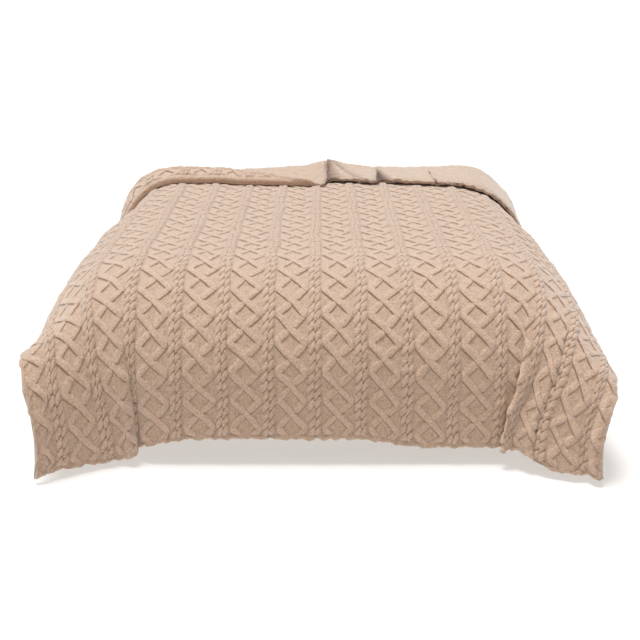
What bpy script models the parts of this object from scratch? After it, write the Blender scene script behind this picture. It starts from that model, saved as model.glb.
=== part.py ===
"""Cable pattern plush blanket draped over the foot of a plain bed.

The blanket is one sheet, cut square and hemmed. It lies flat on the mattress, falls over the foot and
both sides, flares at the two foot corners and is turned back over itself at the head end.
Across the cloth is u, counted from the middle cable. Along it is v, counted from the foot hem.
Both, and every other cloth size marked "pitches", are in cable pitches.
"""
import math

import bmesh
import bpy
import numpy as np

# driving dimensions, metres
PITCH = 0.16            # from one cable to the next
THICK = 0.006           # of the plush sheet between the raised cables
GAP = 0.0003            # between pieces that touch
MATTRESS_WIDE = 1.86
MATTRESS_DEEP = 0.36
MATTRESS_ROUND = 0.33   # of its soft top edges
BASE_INSET = 0.06       # the base stands in from the mattress all round
FOOT_FLAT = 0.04        # the mattress starts to round off this far behind the cloth's own foot curve
BED_LONG = 1.67
BASE_ROUND = 0.02

# the cloth, pitches
LEFT_WIDE, RIGHT_WIDE = 6.7, 7.45   # from the middle cable to the side hems
CLOTH_LONG = 14.45
DIAMOND = 0.625         # from one crossing of the lattice to the next
FIRST_DIAMOND = 0.28    # lowest corners of the lattice above the foot hem
HEM_BAND = 0.105
TOP = 4.0               # of the mattress above the floor
FOOT_EDGE = 4.8         # the flat of the bed ends here, measured up the cloth from the foot hem
FOOT_ROUND = 2.4
FOOT_TURN = math.radians(82)
SIDE_EDGE = 4.1         # the flat of the bed ends here on either side
CUFF = FIRST_DIAMOND + 18 * DIAMOND  # the head end turned back ends near this line
EDGE_LIFT = 0.09        # height of its near edge

# raised pattern, pitches across and metres high
CABLE_HIGH = 0.008
LATTICE_HIGH = 0.007
LATTICE_SIDE = 0.20     # corners of the lattice from the cable beside them
LATTICE_HALF = 0.15     # half width of a strand of the lattice
GROOVE = 0.12           # of the groove beside a cable
PATTERN_ROWS = 37       # half diamonds from the foot hem to the turned back end
HEM_HIGH = 0.003
PRESSED = 0.32          # the pattern ends this far in front of the turned back end

# Side drapes. v, then the side hem from the line SIDE_EDGE: across, forward and down in pitches,
# then the way the cloth points there: dip below level and turn to the front, degrees.
LEFT_SIDE = (
    (0.0, 2.42, 0.86, -0.06, 8, 18),
    (1.25, 2.22, 0.80, 0.08, 15, 20),
    (2.5, 2.19, 0.55, 0.46, 20, 12),
    (3.5, 2.12, 0.30, 1.40, 60, 0),
    (4.8, 2.07, 0.12, 1.45, 65, 0),
    (7.0, 2.02, 0.00, 1.32, 62, 0),
    (9.5, 1.96, 0.00, 1.36, 66, 0),
    (11.0, 1.74, 0.00, 1.55, 76, 0),
)
RIGHT_SIDE = (
    (0.0, 3.18, 0.88, -0.18, 5, 0),
    (1.25, 2.87, 0.80, 0.06, 10, 10),
    (2.0, 2.75, 0.55, 0.45, 30, 0),
    (3.5, 2.32, 0.30, 1.75, 70, 0),
    (4.8, 2.27, 0.12, 1.95, 78, 0),
    (7.0, 2.28, 0.00, 1.95, 80, 0),
    (9.5, 2.20, 0.00, 2.00, 82, 0),
    (11.0, 2.14, 0.00, 2.10, 84, 0),
)
# Upright folds at the foot corners. side, place, half width, cloth taken up at the hem, depth,
# v where it starts to die away and where it has. Pitches.
FOLDS = (
    (-1, 4.20, 0.25, 0.43, 0.17, 0.0, 3.2),
    (-1, 6.40, 0.15, 0.16, 0.02, 0.2, 3.0),
    (1, 4.62, 0.29, 0.36, 0.14, 0.0, 2.0),
    (1, 4.62, 0.29, 0.43, 0.17, 0.4, 3.5),
    (1, 5.70, 0.18, 0.20, -0.06, 1.4, 3.8),
    (1, 7.16, 0.15, 0.12, 0.08, 0.6, 3.4),
)
# Where the front hangs lower. side, from, to, amount. Pitches.
SAGS = ((-1, 2.5, 5.3, 0.52), (1, 0.8, 2.6, 0.20), (1, 5.0, 6.6, 0.42))
FRONT_FADE = 3.4        # v where the sags have died away
TIGHT_FOLD = 0.3        # cloth taken up: past that a fold has corners of its own
# Waves of the side hems. side, v, half length, outward reach. Pitches.
WAVES = ((-1, 6.4, 0.8, 0.10), (-1, 8.6, 0.7, 0.08), (1, 5.9, 0.7, 0.09), (1, 8.2, 0.9, 0.12))
# The turned back end. u, then in pitches its near edge behind the line CUFF, the radius of its second
# turn, what lies on top past that turn, and the radius of the fold at the back.
CUFF_SHAPE = (
    (-6.70, 0.50, 0.06, 0.60, 0.13),
    (-5.20, 0.45, 0.07, 0.60, 0.17),
    (-4.20, 0.25, 0.08, 0.60, 0.14),
    (-2.90, 0.24, 0.08, 0.60, 0.12),
    (-2.00, 0.02, 0.08, 0.35, 0.19),
    (-0.40, -0.10, 0.08, 0.02, 0.23),
    (0.24, -0.20, 0.00, 0.00, 0.31),
    (0.34, 0.28, 0.00, 0.00, 0.31),
    (1.10, 0.20, 0.00, 0.00, 0.22),
    (1.78, 0.00, 0.00, 0.00, 0.18),
    (1.86, 0.25, 0.00, 0.00, 0.17),
    (2.70, -0.03, 0.00, 0.00, 0.18),
    (3.60, -0.18, 0.00, 0.00, 0.20),
    (4.80, -0.50, 0.00, 0.00, 0.27),
    (5.60, -0.30, 0.00, 0.00, 0.22),
    (7.45, -0.30, 0.00, 0.00, 0.13),
)
# u of more corners between those rows.
CUFF_BETWEEN = (-6.1, -4.7, -3.5, -1.2, -0.8, -0.1, 0.7, 4.2, 6.2, 6.8)
# Its tucks. u at the near edge and at the back, width on the gentle side in pitches, share of its
# height lost there.
TUCKS = (
    (0.30, 0.32, 0.60, 0.55),
    (1.30, 0.35, 0.50, 0.30),
    (1.80, 1.88, 0.60, 1.00),
    (3.55, 3.42, 0.14, 0.95),
)
TUCKED_FROM = 13.35     # v where they start
TUCK_STEEP = 0.12       # share of a tuck's width where its steep side ends
WHOLE_TUCK = 0.9        # of its height lost: past that a tuck has corners of its own
PUFF = 0.09             # how far it stands up between them
SINGLE_FROM = (0.2, 0.5)  # u over which it goes from turned back twice to once


def ease(low, high, x):
    t = np.clip((x - low) / (high - low), 0, 1)
    return t * t * (3 - 2 * t)


def bell(x, place, half):
    return np.exp(-((x - place) / half) ** 2)


def read_table(table, v):
    """The columns of a table at v, on a smooth curve through its rows."""
    rows = np.array(table, float)
    at, values = rows[:, 0], rows[:, 1:]
    step = np.diff(values, axis=0) / np.diff(at)[:, None]
    lean = np.zeros_like(values)
    lean[1:-1] = (step[1:] + step[:-1]) / 2
    lean[0] = step[0]
    v = np.clip(v, at[0], at[-1])
    i = np.clip(np.searchsorted(at, v, side="right") - 1, 0, len(at) - 2)
    span = (at[i + 1] - at[i])[:, None]
    t = (v - at[i])[:, None] / span
    start = (2 * t**3 - 3 * t**2 + 1) * values[i] + (t**3 - 2 * t**2 + t) * span * lean[i]
    end = (3 * t**2 - 2 * t**3) * values[i + 1] + (t**3 - t**2) * span * lean[i + 1]
    return (start + end).T


def read_steps(table, at):
    """The columns of a table, level at each of its rows and eased in between."""
    rows = np.array(table, float)
    i = np.clip(np.searchsorted(rows[:, 0], at, side="right") - 1, 0, len(rows) - 2)
    t = ease(rows[i, 0], rows[i + 1, 0], at)[:, None]
    return (rows[i, 1:] * (1 - t) + rows[i + 1, 1:] * t).T


def side_section(side, w, v):
    """Cloth past the line SIDE_EDGE: across, forward and down from that line. w is the distance from
    the middle cable."""
    full = (LEFT_WIDE if side < 0 else RIGHT_WIDE) - SIDE_EDGE
    across, forward, down, dip, turn = read_table(LEFT_SIDE if side < 0 else RIGHT_SIDE, v)
    for wave_side, place, half, swell in WAVES:
        if wave_side == side:
            across = across + swell * bell(v, place, half)
    dip, turn = np.radians(dip), np.radians(turn)
    t = np.clip(w - SIDE_EDGE, 0, None) / full
    leave = (t**3 - 2 * t**2 + t) * full
    reach = 3 * t**2 - 2 * t**3
    arrive = (t**3 - t**2) * full
    return (leave + reach * across + arrive * np.cos(dip) * np.cos(turn),
            reach * forward + arrive * np.cos(dip) * np.sin(turn),
            reach * down + arrive * np.sin(dip))


def corner_folds(side, w, v):
    """Take-up and forward reach of the upright folds on one side."""
    across, forward = np.zeros_like(w), np.zeros_like(w)
    for fold_side, place, half, taken, depth, low, top in FOLDS:
        if fold_side == side:
            strength = 1 - ease(low, top, v)
            q = (w - place) / half
            across -= strength * taken * (1 + np.tanh(q)) / 2
            forward += strength * depth * q * np.exp((1 - q * q) / 2)
    return across, forward


def front_sag(side, w, v):
    sag = sum(amount * ease(start, end, w) for s, start, end, amount in SAGS if s == side)
    return sag * (1 - ease(0, FRONT_FADE, v))


def tucks(u, v):
    """How deep the turned back end is tucked in, as a share of its height."""
    down = np.clip((v - TUCKED_FROM) / (CLOTH_LONG - TUCKED_FROM), 0, 1)
    deepest = 0 * u
    for at_edge, at_back, wide, lost in TUCKS:
        q = (u - at_back - (at_edge - at_back) * down) / (wide * (0.1 + 0.9 * down))
        gentle = 1 - np.clip(q, 0, 1)
        deepest = np.maximum(deepest, lost * ease(-0.1, 0.1, q) * gentle)
    return deepest * ease(0, 0.3, down)


def cuff_lengths(u):
    """The turned back end's near edge, second turn, what lies on top and back fold, then how far the
    cloth reaches back over itself, and its length from the back fold down to the near edge."""
    near, roll, flap, crest = read_steps(CUFF_SHAPE, u)
    rise = 2 * crest - EDGE_LIFT
    spare = CLOTH_LONG - CUFF - near - math.pi * (crest + roll) - flap
    reach = (spare * spare - rise * rise) / (2 * spare)
    return near, np.clip(roll, 1e-4, None), flap, crest, reach, spare - reach


def cuff_section(u, v):
    """Cloth of the turned back end: way back from the line CUFF, and height."""
    near, roll, flap, crest, reach, fall = cuff_lengths(u)
    deep, rise = near + reach, 2 * crest - EDGE_LIFT
    s = v - CUFF - deep
    over = np.clip(s / crest, 0, math.pi)
    s = s - math.pi * crest
    down = np.clip(s / fall, 0, 1)
    under = np.clip((s - fall) / roll, 0, math.pi)
    back = np.clip(s - fall - math.pi * roll, 0, None)
    way = (np.clip(v - CUFF, 0, deep) + crest * np.sin(over) - reach * down
           - roll * np.sin(under) + back * reach / fall)
    single = ease(*SINGLE_FROM, u)
    stand = (1 - down) * rise + PUFF * single * np.sin(math.pi * down**2)
    stand = stand * (1 - tucks(u, v))
    height = np.where(over < math.pi, crest * (1 - np.cos(over)), EDGE_LIFT + stand)
    return way, height + roll * (1 - np.cos(under)) + back * rise / fall


def foot_section(v):
    """Middle of the cloth over the foot of the bed: y and drop."""
    past = FOOT_EDGE - v
    arc = np.clip(past, 0, FOOT_ROUND * FOOT_TURN) / FOOT_ROUND
    hang = np.clip(past - FOOT_ROUND * FOOT_TURN, 0, None)
    y = -(FOOT_ROUND * np.sin(arc) + hang * math.cos(FOOT_TURN)) + np.clip(-past, 0, None)
    return y, FOOT_ROUND * (1 - np.cos(arc)) + hang * math.sin(FOOT_TURN)


def drape(u, v):
    """Places, in metres, of the smooth reverse face of the cloth at u, v."""
    y, drop = foot_section(v)
    way, height = cuff_section(u, v)
    cuff = v > CUFF
    y = np.where(cuff, CUFF - FOOT_EDGE + way, y)
    height = np.where(cuff, height, 0)
    place = np.where(cuff, FOOT_EDGE + y, v)
    x, z = u.copy(), -drop
    lift_x, lift_z = np.zeros_like(u), np.ones_like(u)
    for side in (-1, 1):
        w = side * u
        out, ahead, down = side_section(side, w, place)
        step = 0.001
        out_next, _, down_next = side_section(side, w + step, place)
        run = np.hypot(out_next - out, down_next - down) + 1e-9
        past = w > SIDE_EDGE
        x = np.where(past, side * (SIDE_EDGE + out), x)
        y = np.where(past, y - ahead, y)
        z = np.where(past, z - down, z)
        lift_x = np.where(past, side * (down_next - down) / run, lift_x)
        lift_z = np.where(past, (out_next - out) / run, lift_z)
        fold_out, fold_ahead = corner_folds(side, w, v)
        x = x + side * fold_out
        y = y - fold_ahead
        z = z - front_sag(side, w, v)
    return np.stack([x + height * lift_x, y, TOP + z + height * lift_z], -1) * PITCH


def pattern_normals(u, v):
    step = 0.004
    across = drape(u + step, v) - drape(u - step, v)
    along = drape(u, v + step) - drape(u, v - step)
    normal = np.cross(across, along)
    return normal / np.linalg.norm(normal, axis=-1, keepdims=True)


def relief(u, v):
    """Height of the raised pattern: cables, the lattice between them, and the hem band."""
    phase = u % 1
    from_cable = np.minimum(phase, 1 - phase)
    cable = CABLE_HIGH * np.clip(1 - from_cable / GROOVE, 0, 1)
    row = (v - FIRST_DIAMOND) / DIAMOND % 1
    from_corner = np.minimum(row, 1 - row)
    strand = LATTICE_SIDE + (0.5 - LATTICE_SIDE) * 2 * from_corner
    close = 1 - np.abs(from_cable - strand) / LATTICE_HALF
    lattice = LATTICE_HIGH * np.clip(close, 0, 1) * (from_cable > GROOVE)
    high = np.maximum(cable, lattice)
    near = read_steps(CUFF_SHAPE, u)[0]
    high = np.where(v > CUFF + np.minimum(near, 0) - PRESSED, 0, high)
    return np.where(v < HEM_BAND + 0.01, HEM_HIGH, high)


def spread(start, end, steps):
    return [start + (end - start) * k / steps for k in range(steps)]


def pattern_columns():
    """u of the corners of the pattern, each cable having its ridge and two grooves."""
    offsets = (-LATTICE_SIDE, -GROOVE, 0, GROOVE, LATTICE_SIDE, 0.5)
    inside = [k + off for k in range(-8, 9) for off in offsets if -LEFT_WIDE < k + off < RIGHT_WIDE]
    inside = [u for u in inside if u > 0.05 - LEFT_WIDE and u < RIGHT_WIDE - 0.05]
    tight = {(side, place, half) for side, place, half, taken, *_ in FOLDS if taken > TIGHT_FOLD}
    extra = [side * (place + shift * half) for side, place, half in tight for shift in (-0.5, 0.5)]
    return [-LEFT_WIDE] + sorted(inside + extra) + [RIGHT_WIDE]


def plain_columns(columns):
    """Few columns over the flat middle, and the pattern's own at both sides."""
    left = [u for u in columns if u < -SIDE_EDGE]
    right = [u for u in columns if u > SIDE_EDGE]
    return left + spread(-4, 4.5, 8) + right


def cuff_columns():
    """u of the corners of the turned back end: the rows of its table, places between them, the
    nearly whole tucks."""
    shape = [u for u, *_ in CUFF_SHAPE]
    folds = [edge + share * wide for edge, _, wide, lost in TUCKS if lost > WHOLE_TUCK
             for share in (TUCK_STEEP, 1)]
    return sorted(shape[1:-1] + list(CUFF_BETWEEN) + folds + [-LEFT_WIDE, RIGHT_WIDE])


def pattern_rows():
    return [0, HEM_BAND] + [FIRST_DIAMOND + DIAMOND * k / 2 for k in range(PATTERN_ROWS)]


def plain_rows(rows):
    """Every pattern row where the cloth falls, and each third on the flat."""
    falling = [v for v in rows if v < FOOT_EDGE + 0.3]
    flat = [v for v in rows[:-1] if v > FOOT_EDGE + 0.3]
    return falling + flat[2::3] + [rows[-1]]


def cuff_rows(u):
    """v of the lines across the turned back end at u. The lines keep to its folds."""
    near, roll, flap, crest, reach, _ = cuff_lengths(u)
    back = CUFF + near + reach
    top = back + math.pi * crest
    turn = CLOTH_LONG - np.maximum(flap + math.pi * roll, 0.30)
    over = CLOTH_LONG - np.maximum(flap, HEM_BAND)
    parts = ((CUFF + 0 * u, back, 2), (back, top, 7), (top, turn, 4), (turn, over, 5),
             (over, CLOTH_LONG + 0 * u, 2))
    lines = [start + (end - start) * k / steps for start, end, steps in parts for k in range(steps)]
    return lines[1:] + [CLOTH_LONG + 0 * u]


def zip_rows(bm, row_a, row_b):
    """Triangles between two lines of (place along the line, vertex), wound so that row_b is on the
    left of the way along row_a."""
    i = j = 0
    while i < len(row_a) - 1 or j < len(row_b) - 1:
        if j == len(row_b) - 1:
            move_a = True
        elif i == len(row_a) - 1:
            move_a = False
        else:
            move_a = row_a[i + 1][0] + row_a[i][0] <= row_b[j + 1][0] + row_b[j][0]
        if move_a:
            corners = (row_a[i][1], row_a[i + 1][1], row_b[j][1])
            i += 1
        else:
            corners = (row_a[i][1], row_b[j + 1][1], row_b[j][1])
            j += 1
        if len(set(corners)) == 3:
            bm.faces.new(corners)


def pattern_cells(bm, row_a, row_b, rising):
    """Cells between two pattern rows, each split along the strand that crosses it."""
    for (u, a), (u_next, b), (_, d), (_, c) in zip(row_a, row_a[1:], row_b, row_b[1:]):
        right_half = (u + u_next) / 2 % 1 < 0.5
        if right_half == rising:
            bm.faces.new((a, b, c))
            bm.faces.new((a, c, d))
        else:
            bm.faces.new((a, b, d))
            bm.faces.new((b, c, d))


def face_rows(bm, rows, columns, patterned):
    """Lines of vertices across one face of the cloth. rows holds one v, or v for each column."""
    lines = []
    u = np.array(columns, float)
    for value in rows:
        v = np.full_like(u, value)
        points = drape(u, v)
        if patterned:
            points = points + pattern_normals(u, v) * (THICK + relief(u, v))[:, None]
        lines.append([(place, bm.verts.new(point)) for place, point in zip(columns, points)])
    return lines


def join_face(bm, main, head, patterned):
    """Triangles over one face, from the foot hem to the head end."""
    rows = main + head
    for k, (low, high) in enumerate(zip(rows, rows[1:])):
        if patterned and 2 <= k < len(main) - 1:
            pattern_cells(bm, low, high, rising=k % 2 == 0)
        else:
            zip_rows(bm, low, high)


def side_line(lines, values, end):
    return [(v, line[end][1]) for v, line in zip(values, lines)]


def material(name, colour, roughness):
    surface = bpy.data.materials.new(name)
    surface.use_nodes = True
    shader = surface.node_tree.nodes["Principled BSDF"]
    shader.inputs["Base Color"].default_value = (*colour, 1)
    shader.inputs["Roughness"].default_value = roughness
    shader.inputs["Metallic"].default_value = 0
    return surface


def add_object(name, bm, surface, smooth_angle):
    mesh = bpy.data.meshes.new(name)
    bm.to_mesh(mesh)
    bm.free()
    mesh.materials.append(surface)
    mesh.shade_smooth()
    mesh.set_sharp_from_angle(angle=math.radians(smooth_angle))
    piece = bpy.data.objects.new(name, mesh)
    bpy.context.collection.objects.link(piece)
    return piece


def add_blanket():
    """The sheet: a patterned face, a plain reverse face and the rim between them."""
    bm = bmesh.new()
    columns, rows = pattern_columns(), pattern_rows()
    head_columns = cuff_columns()
    head_rows = cuff_rows(np.array(head_columns))
    back_columns, back_rows = plain_columns(columns), plain_rows(rows)
    front = face_rows(bm, rows, columns, True)
    front_head = face_rows(bm, head_rows, head_columns, True)
    join_face(bm, front, front_head, True)
    made = set(bm.faces)
    back = face_rows(bm, back_rows, back_columns, False)
    back_head = face_rows(bm, head_rows, head_columns, False)
    join_face(bm, back, back_head, False)
    bmesh.ops.reverse_faces(bm, faces=[f for f in bm.faces if f not in made])
    head_values = [CUFF + 1 + k for k in range(len(head_rows))]
    front_values, back_values = rows + head_values, back_rows + head_values
    front, back = front + front_head, back + back_head
    zip_rows(bm, back[0], front[0])
    zip_rows(bm, front[-1], back[-1])
    zip_rows(bm, side_line(front, front_values, 0), side_line(back, back_values, 0))
    zip_rows(bm, side_line(back, back_values, -1), side_line(front, front_values, -1))
    return add_object("blanket", bm, material("beige_plush", (0.55, 0.40, 0.30), 0.95), 35)


def bevel(bm, edges, offset, segments):
    bmesh.ops.bevel(bm, geom=list(edges), offset=offset, segments=segments, profile=0.5,
                    affect="EDGES", clamp_overlap=False, material=-1)


def box(size, centre):
    bm = bmesh.new()
    bmesh.ops.create_cube(bm, size=1)
    bmesh.ops.scale(bm, vec=size, verts=bm.verts)
    bmesh.ops.translate(bm, vec=centre, verts=bm.verts)
    return bm


def add_mattress():
    top = TOP * PITCH - GAP
    foot = FOOT_FLAT - MATTRESS_ROUND
    bm = box((MATTRESS_WIDE, BED_LONG, MATTRESS_DEEP),
             (0, foot + BED_LONG / 2, top - MATTRESS_DEEP / 2))
    low = [e for e in bm.edges if all(v.co.z < top - MATTRESS_DEEP / 2 for v in e.verts)]
    bevel(bm, set(bm.edges) - set(low), MATTRESS_ROUND, 7)
    floor = top - MATTRESS_DEEP
    rim = [e for e in bm.edges if all(abs(v.co.z - floor) < 1e-6 for v in e.verts)]
    bevel(bm, rim, BASE_ROUND, 2)
    return add_object("mattress", bm, material("white_ticking", (0.80, 0.79, 0.76), 0.9), 35)


def add_base():
    """Plain box base under the mattress, standing on the floor."""
    high = TOP * PITCH - GAP - MATTRESS_DEEP - GAP
    foot = FOOT_FLAT - MATTRESS_ROUND + BASE_INSET
    long = BED_LONG - 2 * BASE_INSET
    bm = box((MATTRESS_WIDE - 2 * BASE_INSET, long, high), (0, foot + long / 2, high / 2))
    bevel(bm, bm.edges[:], BASE_ROUND, 2)
    return add_object("bed_base", bm, material("pale_base", (0.80, 0.79, 0.76), 0.85), 35)


def centre_over_origin(pieces):
    """The whole stands with the middle of its box over the origin."""
    corners = np.array([v.co for piece in pieces for v in piece.data.vertices])
    middle = (corners.min(axis=0) + corners.max(axis=0)) / 2
    for piece in pieces:
        piece.location = (-middle[0], -middle[1], 0)


def main():
    for old in list(bpy.data.objects):
        bpy.data.objects.remove(old, do_unlink=True)
    centre_over_origin([add_blanket(), add_mattress(), add_base()])


main()
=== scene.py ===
"""Looks of a cable pattern plush blanket draped over the foot of a plain bed, as a Blender add-on.

Across the cloth is u, counted from the middle cable. Along it is v, counted from the foot hem. Both, and
every other cloth size marked "pitches", are in cable pitches. The drape has the folds of the solid, some
of them narrower, and its turned back end stands up a little more at its near edge.
"""
import math

import bmesh
import bpy
import numpy as np
from bpy.props import FloatProperty, FloatVectorProperty, PointerProperty
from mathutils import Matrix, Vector


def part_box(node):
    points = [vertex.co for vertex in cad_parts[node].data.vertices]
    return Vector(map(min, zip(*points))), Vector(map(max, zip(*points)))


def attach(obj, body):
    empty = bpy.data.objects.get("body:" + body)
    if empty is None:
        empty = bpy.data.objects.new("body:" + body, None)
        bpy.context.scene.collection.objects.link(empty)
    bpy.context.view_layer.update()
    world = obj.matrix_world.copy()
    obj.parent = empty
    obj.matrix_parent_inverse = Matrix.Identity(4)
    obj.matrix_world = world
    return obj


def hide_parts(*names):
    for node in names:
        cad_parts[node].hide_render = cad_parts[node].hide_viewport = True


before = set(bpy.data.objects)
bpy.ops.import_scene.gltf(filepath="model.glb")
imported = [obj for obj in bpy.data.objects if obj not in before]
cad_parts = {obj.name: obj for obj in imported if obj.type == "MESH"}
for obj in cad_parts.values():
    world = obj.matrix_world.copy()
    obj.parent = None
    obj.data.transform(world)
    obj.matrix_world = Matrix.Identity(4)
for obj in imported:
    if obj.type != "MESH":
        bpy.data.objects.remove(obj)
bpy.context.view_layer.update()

bl_info = {
    "name": "Draped cable blanket",
    "version": (1, 0, 0),
    "blender": (4, 5, 0),
    "location": "View3D > Sidebar > Blanket",
    "description": "Models a plush cable blanket over a plain bed, with its materials and stage",
    "category": "Object",
}

MATTRESS_LOW, MATTRESS_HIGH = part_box("mattress")
MATTRESS_PITCHES = 11.625  # its width in cable pitches
PITCH = (MATTRESS_HIGH.x - MATTRESS_LOW.x) / MATTRESS_PITCHES
FOOT_LINE = 0.29        # behind the mattress's foot end the cloth starts to curve down, metres
ORIGIN = np.array([(MATTRESS_LOW.x + MATTRESS_HIGH.x) / 2, MATTRESS_LOW.y + FOOT_LINE, 0])
MATTRESS_SOFT = 0.33    # radius of its rounded edges, metres
MATTRESS_STEP = 0.014   # faces of its cover, metres
FOLD_ROOM = 0.001       # its cover stays this far inside the solid, metres
QUILT_ROUND = 0.4       # below 1 the cover is full up to the channels
QUILT_FROM = (0.02, 0.06)  # above the piping, where the channels start and are deep, metres
PIPING_SIDES = 8

# the cloth, pitches
LEFT_WIDE, RIGHT_WIDE = 6.7, 7.45   # from the middle cable to the side hems
CLOTH_LONG = 14.45
DIAMOND = 0.625         # from one crossing of the lattice to the next
FIRST_DIAMOND = 0.28    # lowest corners of the lattice above the foot hem
TOP = 4.0               # of the mattress above the floor
FOOT_EDGE = 4.8         # the flat of the bed ends here, measured up the cloth from the foot hem
FOOT_ROUND = 2.4
FOOT_TURN = math.radians(82)
SIDE_EDGE = 4.1         # the flat of the bed ends here on either side
CUFF = FIRST_DIAMOND + 18 * DIAMOND  # the head end turned back ends near this line
EDGE_LIFT = 0.09        # height of its near edge

# Side drapes. v, then the side hem from the line SIDE_EDGE: across, forward and down in pitches,
# then the way the cloth points there: dip below level and turn to the front, degrees.
LEFT_SIDE = (
    (0.0, 2.42, 0.86, -0.06, 8, 18),
    (1.25, 2.22, 0.80, 0.08, 15, 20),
    (2.5, 2.19, 0.55, 0.46, 20, 12),
    (3.5, 2.12, 0.30, 1.40, 60, 0),
    (4.8, 2.07, 0.12, 1.45, 65, 0),
    (7.0, 2.02, 0.00, 1.32, 62, 0),
    (9.5, 1.96, 0.00, 1.36, 66, 0),
    (11.0, 1.74, 0.00, 1.55, 76, 0),
)
RIGHT_SIDE = (
    (0.0, 3.18, 0.88, -0.18, 5, 0),
    (1.25, 2.87, 0.80, 0.06, 10, 10),
    (2.0, 2.75, 0.55, 0.45, 30, 0),
    (3.5, 2.32, 0.30, 1.75, 70, 0),
    (4.8, 2.27, 0.12, 1.95, 78, 0),
    (7.0, 2.28, 0.00, 1.95, 80, 0),
    (9.5, 2.20, 0.00, 2.00, 82, 0),
    (11.0, 2.14, 0.00, 2.10, 84, 0),
)
# Upright folds at the foot corners. side, place, half width, cloth taken up at the hem, depth,
# v where it starts to die away and where it has. Pitches.
FOLDS = (
    (-1, 4.16, 0.20, 0.43, 0.13, 0.0, 3.2),
    (-1, 6.40, 0.15, 0.16, 0.02, 0.2, 3.0),
    (1, 4.66, 0.15, 0.38, 0.07, 0.0, 2.0),
    (1, 4.66, 0.15, 0.45, 0.12, 0.4, 3.5),
    (1, 5.70, 0.15, 0.24, -0.09, 1.4, 3.8),
    (1, 7.16, 0.15, 0.12, 0.08, 0.6, 3.4),
)
# Where the front hangs lower. side, from, to, amount. Pitches.
SAGS = ((-1, 2.5, 5.3, 0.52), (1, 0.8, 2.6, 0.20), (1, 5.0, 6.6, 0.42))
FRONT_FADE = 3.4        # v where the sags have died away
# Waves of the side hems. side, v, half length, outward reach. Pitches.
WAVES = ((-1, 6.4, 0.8, 0.10), (-1, 8.6, 0.7, 0.08), (1, 5.9, 0.7, 0.09), (1, 8.2, 0.9, 0.12))
# The turned back end. u, then in pitches its near edge behind the line CUFF, the radius of its second
# turn, what lies on top past that turn, and the radius of the fold at the back.
CUFF_SHAPE = (
    (-6.70, 0.50, 0.06, 0.60, 0.13),
    (-5.20, 0.45, 0.07, 0.60, 0.17),
    (-4.20, 0.25, 0.08, 0.60, 0.14),
    (-2.90, 0.24, 0.08, 0.60, 0.12),
    (-2.00, 0.02, 0.08, 0.35, 0.19),
    (-0.40, -0.10, 0.08, 0.02, 0.23),
    (0.24, -0.20, 0.00, 0.00, 0.31),
    (0.34, 0.28, 0.00, 0.00, 0.31),
    (1.10, 0.20, 0.00, 0.00, 0.22),
    (1.78, 0.00, 0.00, 0.00, 0.18),
    (1.86, 0.25, 0.00, 0.00, 0.17),
    (2.70, -0.03, 0.00, 0.00, 0.18),
    (3.60, -0.18, 0.00, 0.00, 0.20),
    (4.80, -0.50, 0.00, 0.00, 0.27),
    (5.60, -0.30, 0.00, 0.00, 0.22),
    (7.45, -0.30, 0.00, 0.00, 0.13),
)
# Its tucks. u at the near edge and at the back, width on the gentle side in pitches, share of its
# height lost there.
TUCKS = (
    (0.30, 0.32, 0.60, 0.55),
    (1.30, 0.35, 0.50, 0.30),
    (1.80, 1.88, 0.60, 1.00),
    (3.55, 3.42, 0.14, 0.95),
)
TUCKED_FROM = 13.35     # v where they start
TUCK_STARTS = 0.3       # share of a tuck's length over which it gets deep
TUCK_STEEP = 0.1        # half of its steep side, as a share of its width
TUCK_NARROW = 0.1       # its width at the back, as a share of that at the near edge
TUCK_DARK = 1.7         # how fast the painted shade in a tuck deepens with its depth
PUFF = 0.09             # how far it stands up between them
LIFTED = 0.78           # below 1 the near edge is lifted there too
SINGLE_FROM = (0.2, 0.5)  # u over which it goes from turned back twice to once

# the raised pattern, pitches
CORNER = 0.19           # corners of the lattice from the cable beside them
CABLE_HALF = 0.135      # half the width of a cable
LOBE = DIAMOND / 3      # from one lobe of a cable to the next
LOBE_SLANT = 1.1        # how far a lobe's ends climb to the right
LOBE_HALF = 0.56        # half the width of a lobe, as a share of CABLE_HALF
ROUND_SHARE = 0.25      # of a cable's height, round all over. The rest is lobes.
STRAND_HALF = 0.074
UNDER_GAP = 0.14        # a strand that passes under stops this far from the crossing
UNDER_HIGH = 0.75       # its height, as a share of the strand over it
CABLE_CLEAR = 0.03      # the lattice dies away over this width beside a cable
MESH_SOFT = 0.045       # width of a ridge's side in the mesh
SHADE_SOFT = 0.03       # and in the shading
CREASE_DOWN = 0.030     # from a raised edge to the lower side of the painted shade in the creases below it
CREASE_DEPTH = 1.25     # how dark that painted shade gets, for each unit of height above it
BETWEEN_LOBES = 0.68    # below this height a cable gets painted shade between its lobes
BETWEEN_SHARP = 3       # how fast that painted shade deepens there
CABLE_SHARP = 30        # how fast that ends at a cable's sides
PRESSED = 0.06          # the pattern dies away this far on either side of the turned back end's edge
TOP_FROM = (0.02, 0.04)  # radius of the second turn over which the pattern comes to show on top
TOP_STARTS = 0.1        # past that turn, where it is full again

# the hems, pitches
HEM_BAND = 0.105
HEM_FADE = (-0.02, 0.03)  # beside the inner side of the band, where the pattern starts and is full
EDGE_ROUND = 0.03
SEAM_OFF, SEAM_HALF = 0.012, 0.022  # the seam's place past the band, and its half width
SEAM_DEEP = 0.003       # metres
ROLL_PLACE, ROLL_HALF = 0.06, 0.08  # on the reverse the hem is fuller around here
REVERSE_FROM = (1.2, 1.6)  # past CUFF, where the reverse starts to stand out and is full

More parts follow.
